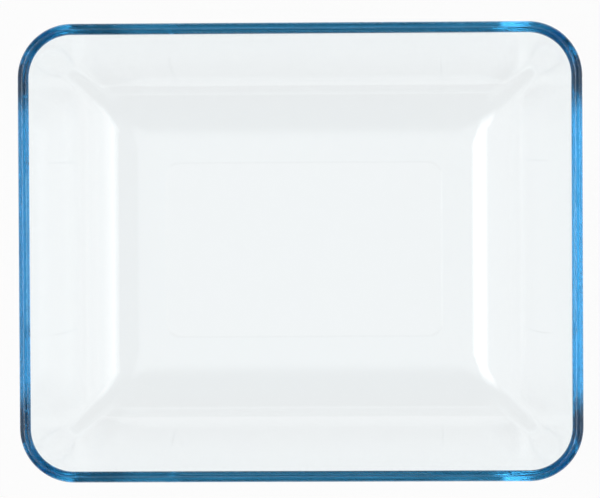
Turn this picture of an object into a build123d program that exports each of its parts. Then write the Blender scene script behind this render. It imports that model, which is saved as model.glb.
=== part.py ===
from build123d import *
from math import cos, radians, sin, sqrt
import os

# Outside of the rim, seen from above
rim_length = 280
rim_width = 228
rim_corner_radius = 27
dish_height = 70

# Rounded bead that thickens the walls at the rim
bead_diameter = 5.6
bead_blend_radius = 1.0

# Walls, which curve out of the heel and are steepest at the rim
wall_thickness = 4.2
wall_radius = 102
rim_lean = 11

# Floor, and the heel that joins it to the walls
floor_thickness = 5.8
inside_heel_radius = 42
outside_heel_radius = 40

# Shallow hollow under the floor, which leaves a band to stand on
band_width = 10
hollow_depth = 0.5
hollow_corner_radius = 8
hollow_edge_bevel = 0.3

# The walls' section, with each inset measured from the rim's outer edge
bead_radius = bead_diameter / 2
bead_height = dish_height - bead_radius
wall_centre_inset = bead_radius + wall_radius * cos(radians(rim_lean))
wall_centre_height = bead_height + wall_radius * sin(radians(rim_lean))
inside_wall_radius = wall_radius - wall_thickness / 2
outside_wall_radius = wall_radius + wall_thickness / 2

# Upright axes that the rim's corners are drawn round
corner_x = rim_length / 2 - rim_corner_radius
corner_y = rim_width / 2 - rim_corner_radius
corner_axis = Axis((corner_x, corner_y, 0), (0, 0, 1))


def wall_inset(face_radius, height):
    """Inset at this height of the wall's face that has this radius."""
    return wall_centre_inset - sqrt(face_radius**2 - (wall_centre_height - height) ** 2)


def heel_inset(face_radius, foot_height, heel_radius):
    """Inset of a heel's centre. Its arc runs on from the wall's face and ends flat at the foot."""
    drop = wall_centre_height - foot_height - heel_radius
    return wall_centre_inset - sqrt((face_radius - heel_radius) ** 2 - drop**2)


def outline(inset, corner_radius):
    """Plan of the rim moved inwards by an inset, with its own corner radius."""
    return RectangleRounded(rim_length - 2 * inset, rim_width - 2 * inset, corner_radius)


def form_section(plane, across, face_radius, foot_height, heel_radius, bead_mode):
    """Section from wall to wall, with the beads added to it or cut out of it."""
    heel_x = across / 2 - heel_inset(face_radius, foot_height, heel_radius)
    wall_centre = Vector(across / 2 - wall_centre_inset, wall_centre_height)
    heel_centre = Vector(heel_x, foot_height + heel_radius)
    wall_foot = heel_centre + (heel_centre - wall_centre).normalized() * heel_radius
    wall_top = Vector(across / 2 - wall_inset(face_radius, bead_height), bead_height)
    with BuildSketch(plane) as section:
        with BuildLine():
            Line((0, foot_height), (heel_x, foot_height))
            RadiusArc((heel_x, foot_height), wall_foot, -heel_radius)
            RadiusArc(wall_foot, wall_top, -face_radius)
            Polyline(wall_top, (0, bead_height), (0, foot_height))
        make_face()
        mirror(about=Plane.YZ)

        # Mouth between the middles of the beads, then the beads blended into the walls
        with Locations((0, bead_height)):
            Rectangle(across - bead_diameter, bead_radius, align=(Align.CENTER, Align.MIN))
        with GridLocations(across - bead_diameter, 0, 2, 1):
            with Locations((0, bead_height)):
                Circle(bead_radius, mode=bead_mode)
        bead_seams = section.vertices().filter_by_position(
            Axis.Y, bead_height - bead_radius, bead_height, inclusive=(False, False)
        )
        fillet(bead_seams, bead_blend_radius)
    return section.sketch


def walled_form(face_radius, foot_height, heel_radius, bead_mode):
    """Form with the same section on all four sides and rounded corners at the rim."""
    wall = (face_radius, foot_height, heel_radius, bead_mode)
    end_section = form_section(Plane.XZ, rim_length, *wall)
    side_section = form_section(Plane.YZ, rim_width, *wall)
    corner_plane = Plane.XZ.offset(-corner_y)
    corner_section = form_section(corner_plane, rim_length, *wall)

    # Rounded corners: the section beyond a corner's axis, turned round that axis
    with BuildPart() as corners:
        with BuildSketch(corner_plane):
            add(corner_section)
            with Locations((corner_x, 0)):
                Rectangle(
                    rim_corner_radius, dish_height, align=(Align.MIN, Align.MIN), mode=Mode.INTERSECT
                )
        revolve(axis=corner_axis, revolution_arc=90)
        mirror(about=Plane.XZ)
        mirror(about=Plane.YZ)

    # Straight walls, which meet in mitres below the rounded corners
    with BuildPart() as form:
        extrude(end_section, amount=rim_width / 2, both=True)
        extrude(side_section, amount=rim_length / 2, both=True, mode=Mode.INTERSECT)
        with GridLocations(rim_length - rim_corner_radius, rim_width - rim_corner_radius, 2, 2):
            Box(
                rim_corner_radius,
                rim_corner_radius,
                dish_height,
                align=(Align.CENTER, Align.CENTER, Align.MIN),
                mode=Mode.SUBTRACT,
            )
        add(corners.part)
    return form.part


# Outside with the beads, and the room inside without them
outside_form = walled_form(outside_wall_radius, 0, outside_heel_radius, Mode.ADD)
inside_form = walled_form(inside_wall_radius, floor_thickness, inside_heel_radius, Mode.SUBTRACT)

# The hollow starts one band's width in from the end of the heel
hollow_inset = heel_inset(outside_wall_radius, 0, outside_heel_radius) + band_width

# The dish is one pressed piece of glass
with BuildPart() as glass_dish:
    add(outside_form)
    add(inside_form, mode=Mode.SUBTRACT)

    # Hollow under the floor, with a bevelled edge at the standing band
    with BuildSketch(Plane.XY):
        outline(hollow_inset, hollow_corner_radius)
    extrude(amount=hollow_depth, mode=Mode.SUBTRACT)
    foot_band = glass_dish.faces().sort_by(Axis.Z)[0]
    chamfer(foot_band.inner_wires().edges(), hollow_edge_bevel)

glass_dish.part.label = "glass_dish"
os.makedirs("parts", exist_ok=True)
export_step(glass_dish.part, "parts/glass_dish.step")
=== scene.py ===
"""A clear pressed-glass lasagna dish on a white table, seen from above."""

from math import acos, atan2, cos, pi, radians, sin, sqrt

import bmesh
import bpy
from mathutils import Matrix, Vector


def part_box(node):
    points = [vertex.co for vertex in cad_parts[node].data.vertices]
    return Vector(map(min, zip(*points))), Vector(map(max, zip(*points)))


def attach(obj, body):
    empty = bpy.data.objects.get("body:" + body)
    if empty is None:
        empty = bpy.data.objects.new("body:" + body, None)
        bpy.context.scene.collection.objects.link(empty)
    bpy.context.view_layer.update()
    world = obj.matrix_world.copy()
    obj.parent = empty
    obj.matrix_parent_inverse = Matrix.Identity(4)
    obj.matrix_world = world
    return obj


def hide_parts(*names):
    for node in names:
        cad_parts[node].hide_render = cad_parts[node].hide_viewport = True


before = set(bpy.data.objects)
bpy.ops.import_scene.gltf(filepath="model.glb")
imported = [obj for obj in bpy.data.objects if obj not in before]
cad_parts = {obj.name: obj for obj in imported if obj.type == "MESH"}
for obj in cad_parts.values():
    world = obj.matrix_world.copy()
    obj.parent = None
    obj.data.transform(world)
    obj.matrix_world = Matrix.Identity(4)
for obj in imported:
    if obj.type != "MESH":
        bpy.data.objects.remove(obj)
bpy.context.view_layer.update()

MM = 0.001

# Rim, taken from the frame
rim_low, rim_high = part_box("glass_dish")
rim_length = rim_high[0] - rim_low[0]
rim_width = rim_high[1] - rim_low[1]
dish_height = rim_high[2] - rim_low[2]

# Section of the glass, in metres
bead_radius = 2.8 * MM
bead_blend = 1.0 * MM
wall_thickness = 4.2 * MM
wall_radius = 102 * MM
rim_lean = radians(11)
floor_thickness = 5.8 * MM
inside_heel_radius = 42 * MM
outside_heel_radius = 40 * MM
band_width = 10 * MM
hollow_depth = 0.5 * MM
hollow_edge = 0.8 * MM

# Plan corner radius at the rim, and the small one left where the walls meet in mitres
rim_corner_radius = 27 * MM
mitre_radius = 7 * MM

# Fineness of the mesh
corner_steps = 40
arc_step = radians(2.5)
longest_step = 1.5 * MM
settle_steps = (0.15 * MM, 0.5 * MM, 1.2 * MM, 3 * MM)
merge_distance = 0.001 * MM
plane_tolerance = 0.0001 * MM

# Share of the table's light that is even white, seen straight and by way of the glass
straight_share = 0.95
glass_share = 0.9

# Light by direction: degrees up from the right-hand horizon over the top to the left one, and strength
room_levels = [
    (0, 1.2), (30, 1.4), (37, 2.4), (47, 3.0), (51, 0.4), (80, 0.4), (84, 0.9), (105, 1.0),
    (110, 4.2), (125, 4.2), (129, 1.2), (145, 1.0), (165, 0.9), (179, 0.9),
]
level_scale = 8

# Light from the front and the back, and where the room fades to it, as the sine of the angle aside
side_level = 0.05
fade_start = 0.06
fade_end = 0.5


def arc_points(centre, radius, start, end):
    """Points of an arc in the section, as (inset, height), from one angle to another."""
    turn = abs(end - start)
    steps = max(2, round(turn / arc_step), round(turn * radius / longest_step))
    return [
        (
            centre[0] + radius * cos(start + (end - start) * i / steps),
            centre[1] + radius * sin(start + (end - start) * i / steps),
        )
        for i in range(steps + 1)
    ]


def angle_to(centre, point):
    """Angle of a section point as seen from a centre."""
    return atan2(point[1] - centre[1], point[0] - centre[0])


bead_centre = (bead_radius, dish_height - bead_radius)
wall_centre = (
    bead_centre[0] + wall_radius * cos(rim_lean),
    bead_centre[1] + wall_radius * sin(rim_lean),
)


def heel_centre(face_radius, height, heel_radius):
    """Centre of a heel's arc, which runs on from a wall's face and turns flat at this height."""
    drop = wall_centre[1] - height - heel_radius
    return (wall_centre[0] - sqrt((face_radius - heel_radius) ** 2 - drop**2), height + heel_radius)


def bead_junction(side):
    """Centre of the blend arc between the bead and a wall's face: side 1 is inside, side -1 outside."""
    # The centre's distances from the wall's centre and from the bead's centre
    to_wall = wall_radius - side * (wall_thickness / 2 + bead_blend)
    to_bead = bead_radius + bead_blend
    # Angle at the wall's centre in the triangle of the three centres
    turn = acos((wall_radius**2 + to_wall**2 - to_bead**2) / (2 * wall_radius * to_wall))
    angle = angle_to(wall_centre, bead_centre) % (2 * pi) + turn
    return (wall_centre[0] + to_wall * cos(angle), wall_centre[1] + to_wall * sin(angle))


def turned(angle):
    """The same angle between -2 pi and 0."""
    return angle % (2 * pi) - 2 * pi


def dish_section():
    """The section from the middle of the underside, round the rim, to the middle of the floor."""
    outside_face = wall_radius + wall_thickness / 2
    inside_face = wall_radius - wall_thickness / 2
    outside_centre = heel_centre(outside_face, 0, outside_heel_radius)
    inside_centre = heel_centre(inside_face, floor_thickness, inside_heel_radius)
    outer = bead_junction(-1)
    inner = bead_junction(1)
    flat = -pi / 2

    # Angles at which each arc hands over to the next, seen from the wall's centre
    outside_low = turned(angle_to(wall_centre, outside_centre))
    outside_high = turned(angle_to(wall_centre, outer))
    inside_low = turned(angle_to(wall_centre, inside_centre))
    inside_high = turned(angle_to(wall_centre, inner))
    outside = arc_points(outside_centre, outside_heel_radius, flat, outside_low)
    outside += arc_points(wall_centre, outside_face, outside_low, outside_high)[1:]
    inside = arc_points(wall_centre, inside_face, inside_high, inside_low)
    inside += arc_points(inside_centre, inside_heel_radius, inside_low, flat)[1:]

    # Blends between the bead and the wall's faces, and the bead itself
    outer_start = angle_to(outer, wall_centre)
    outer_end = angle_to(outer, bead_centre)
    inner_start = angle_to(inner, bead_centre)
    inner_end = angle_to(wall_centre, inner)
    while outer_end < outer_start:
        outer_end += 2 * pi
    while inner_end < inner_start:
        inner_end += 2 * pi
    outer_blend = arc_points(outer, bead_blend, outer_start, outer_end)
    inner_blend = arc_points(inner, bead_blend, inner_start, inner_end)
    bead_start = angle_to(bead_centre, outer)
    bead_end = angle_to(bead_centre, inner)
    if bead_start < bead_end:
        bead_start += 2 * pi
    bead = arc_points(bead_centre, bead_radius, bead_start, bead_end)

    band_inset = outside_centre[0]
    hollow_inset = band_inset + band_width
    hollow_end = hollow_inset + hollow_edge
    under = [(hollow_end + step, hollow_depth) for step in reversed(settle_steps)]
    under += [(hollow_end, hollow_depth), (hollow_inset, 0.0)]
    under += [(hollow_inset - step, 0.0) for step in settle_steps]
    under += [(band_inset + step, 0.0) for step in reversed(settle_steps)]
    over = [(inside_centre[0] + step, floor_thickness) for step in settle_steps]
    return under + outside + outer_blend[1:] + bead[1:] + inner_blend[1:] + inside[1:] + over


def corner_radius(inset):
    """Plan corner radius at an inset: round the rim's corner axis, and a mitre further in."""
    return max(rim_corner_radius - inset, mitre_radius)


def dish_mesh():
    """One quarter of the dish: the section is spun round the corner, spread and carried to the middle."""
    bm = bmesh.new()
    inset_layer = bm.verts.layers.float.new("inset")
    radius_layer = bm.verts.layers.float.new("corner_radius")
    chain = []
    for inset, height in dish_section():
        radius = corner_radius(inset)
        vert = bm.verts.new((radius, 0, height))
        vert[inset_layer] = inset
        vert[radius_layer] = radius
        chain.append(vert)
    edges = [bm.edges.new(pair) for pair in zip(chain, chain[1:])]
    bmesh.ops.spin(
        bm,
        geom=chain + edges,
        cent=(0, 0, 0),
        axis=(0, 0, 1),
        angle=pi / 2,
        steps=corner_steps,
        use_duplicate=False,
    )
    bm.edges.ensure_lookup_table()
    start_edges = [e for e in bm.edges if all(abs(v.co.y) < plane_tolerance for v in e.verts)]
    end_edges = [e for e in bm.edges if all(abs(v.co.x) < plane_tolerance for v in e.verts)]
    for vert in bm.verts:
        vert.co.x += rim_length / 2 - vert[inset_layer] - vert[radius_layer]
        vert.co.y += rim_width / 2 - vert[inset_layer] - vert[radius_layer]
    for edge_list, index in ((start_edges, 1), (end_edges, 0)):
        new = bmesh.ops.extrude_edge_only(bm, edges=edge_list)["geom"]
        for vert in new:
            if isinstance(vert, bmesh.types.BMVert):
                vert.co[index] = 0
    return bm


def finish_dish(bm):
    """Mirrors the quarter into the whole dish and closes floor and underside."""
    for axis in ("X", "Y"):
        geom = bm.verts[:] + bm.edges[:] + bm.faces[:]
        bmesh.ops.mirror(bm, geom=geom, axis=axis, merge_dist=merge_distance)
    bmesh.ops.remove_doubles(bm, verts=bm.verts[:], dist=merge_distance)
    open_edges = [e for e in bm.edges if e.is_boundary]
    bmesh.ops.holes_fill(bm, edges=open_edges, sides=0)
    bmesh.ops.recalc_face_normals(bm, faces=bm.faces[:])
    for face in bm.faces:
        face.smooth = True
    mesh = bpy.data.meshes.new("pressed_dish")
    bm.to_mesh(mesh)
    bm.free()
    piece = bpy.data.objects.new("pressed_dish", mesh)
    bpy.context.scene.collection.objects.link(piece)
    return piece


def clear_glass():
    """Clear glass, faintly blue over a long path."""
    material = bpy.data.materials.new("clear_glass")
    material.use_nodes = True
    nodes, links = material.node_tree.nodes, material.node_tree.links
    surface = nodes["Principled BSDF"]
    surface.inputs["Base Color"].default_value = (1, 1, 1, 1)
    surface.inputs["Roughness"].default_value = 0.0
    surface.inputs["IOR"].default_value = 1.47
    surface.inputs["Transmission Weight"].default_value = 1.0
    volume = nodes.new("ShaderNodeVolumeAbsorption")
    volume.inputs["Color"].default_value = (0.2, 0.7, 0.86, 1)
    volume.inputs["Density"].default_value = 12.5
    links.new(volume.outputs["Volume"], nodes["Material Output"].inputs["Volume"])
    return material


def math_node(tree, operation, *values):
    """Output of a math node whose inputs are numbers or the outputs of other nodes."""
    node = tree.nodes.new("ShaderNodeMath")
    node.operation = operation
    for socket, value in zip(node.inputs, values):
        if isinstance(value, bpy.types.NodeSocket):
            tree.links.new(value, socket)
        else:
            socket.default_value = value
    return node.outputs[0]


def white_table():
    """White table that the camera sees as white, also through the glass, with the dish's shadow kept."""
    bm = bmesh.new()
    bmesh.ops.create_grid(bm, x_segments=1, y_segments=1, size=3)
    mesh = bpy.data.meshes.new("table")
    bm.to_mesh(mesh)
    bm.free()
    table = bpy.data.objects.new("table", mesh)
    table.location.z = -0.2 * MM
    bpy.context.scene.collection.objects.link(table)
    material = bpy.data.materials.new("table")
    material.use_nodes = True
    tree = material.node_tree
    paint = tree.nodes["Principled BSDF"]
    paint.inputs["Base Color"].default_value = (0.9, 0.9, 0.9, 1)
    paint.inputs["Roughness"].default_value = 1.0
    paint.inputs["Specular IOR Level"].default_value = 0.0
    glow = tree.nodes.new("ShaderNodeEmission")
    glow.inputs["Strength"].default_value = 1.0
    seen = tree.nodes.new("ShaderNodeLightPath").outputs
    by_glass = math_node(tree, "MAXIMUM", seen["Is Glossy Ray"], seen["Is Transmission Ray"])
    straight = math_node(tree, "MULTIPLY", seen["Is Camera Ray"], straight_share)
    through = math_node(tree, "MULTIPLY", by_glass, glass_share)
    mix = tree.nodes.new("ShaderNodeMixShader")
    tree.links.new(math_node(tree, "MAXIMUM", straight, through), mix.inputs["Fac"])
    tree.links.new(paint.outputs[0], mix.inputs[1])
    tree.links.new(glow.outputs[0], mix.inputs[2])
    tree.links.new(mix.outputs[0], tree.nodes["Material Output"].inputs["Surface"])
    mesh.materials.append(material)
    return table


def room():
    """Studio light by direction: bright to the right, a softbox high on the left, dim front and back."""
    world = bpy.data.worlds.new("room")
    world.use_nodes = True
    tree = world.node_tree
    way = tree.nodes.new("ShaderNodeTexCoord")
    split = tree.nodes.new("ShaderNodeSeparateXYZ")
    tree.links.new(way.outputs["Generated"], split.inputs[0])

    # Half turns from the right-hand horizon to the left one pick the level
    angle = math_node(tree, "ARCTAN2", split.outputs["Z"], split.outputs["X"])
    ramp = tree.nodes.new("ShaderNodeValToRGB")
    tree.links.new(math_node(tree, "DIVIDE", angle, pi), ramp.inputs["Fac"])
    stops = ramp.color_ramp.elements
    for degrees_up, level in room_levels:
        stop = stops.new(degrees_up / 180)
        stop.color = (level / level_scale, level / level_scale, level / level_scale, 1)
    stops.remove(stops[0])
    stops.remove(stops[-1])

    # The level fades towards the front and the back
    fade = tree.nodes.new("ShaderNodeMapRange")
    fade.interpolation_type = "SMOOTHSTEP"
    fade.inputs["From Min"].default_value = fade_start
    fade.inputs["From Max"].default_value = fade_end
    tree.links.new(math_node(tree, "ABSOLUTE", split.outputs["Y"]), fade.inputs["Value"])
    blend = tree.nodes.new("ShaderNodeMix")
    blend.data_type = "FLOAT"
    tree.links.new(fade.outputs[0], blend.inputs[0])
    tree.links.new(ramp.outputs["Color"], blend.inputs[2])
    blend.inputs[3].default_value = side_level / level_scale
    back = tree.nodes["Background"]
    back.inputs["Color"].default_value = (1, 1, 1, 1)
    tree.links.new(math_node(tree, "MULTIPLY", blend.outputs[0], level_scale), back.inputs["Strength"])
    bpy.context.scene.world = world


def camera():
    """Camera above the dish, a little to the right and behind, turned to face the rim's centre."""
    distance = 1.95
    aside = (0.055, 0.045)
    rim_pixels, frame_pixels = 565.5, 600
    shown = rim_length * frame_pixels / rim_pixels
    aim = (0.15 * MM, 1.5 * MM)
    roll = radians(-0.3)
    data = bpy.data.cameras.new("camera")
    data.sensor_width = 36
    data.lens = data.sensor_width * distance / shown
    piece = bpy.data.objects.new("camera", data)
    piece.location = (aside[0], aside[1], dish_height + distance)
    tilt = atan2(aim[1] - aside[1], distance)
    pan = atan2(aside[0] - aim[0], distance)
    piece.rotation_euler = (tilt, pan, roll)
    bpy.context.scene.collection.objects.link(piece)
    bpy.context.scene.camera = piece


glass = clear_glass()
dish = finish_dish(dish_mesh())
dish.data.materials.append(glass)
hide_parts("glass_dish")
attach(dish, "root")

white_table()
room()
camera()

scene = bpy.context.scene
scene.view_settings.view_transform = "Standard"
scene.cycles.transmission_bounces = 40
scene.cycles.glossy_bounces = 64
scene.cycles.max_bounces = 64
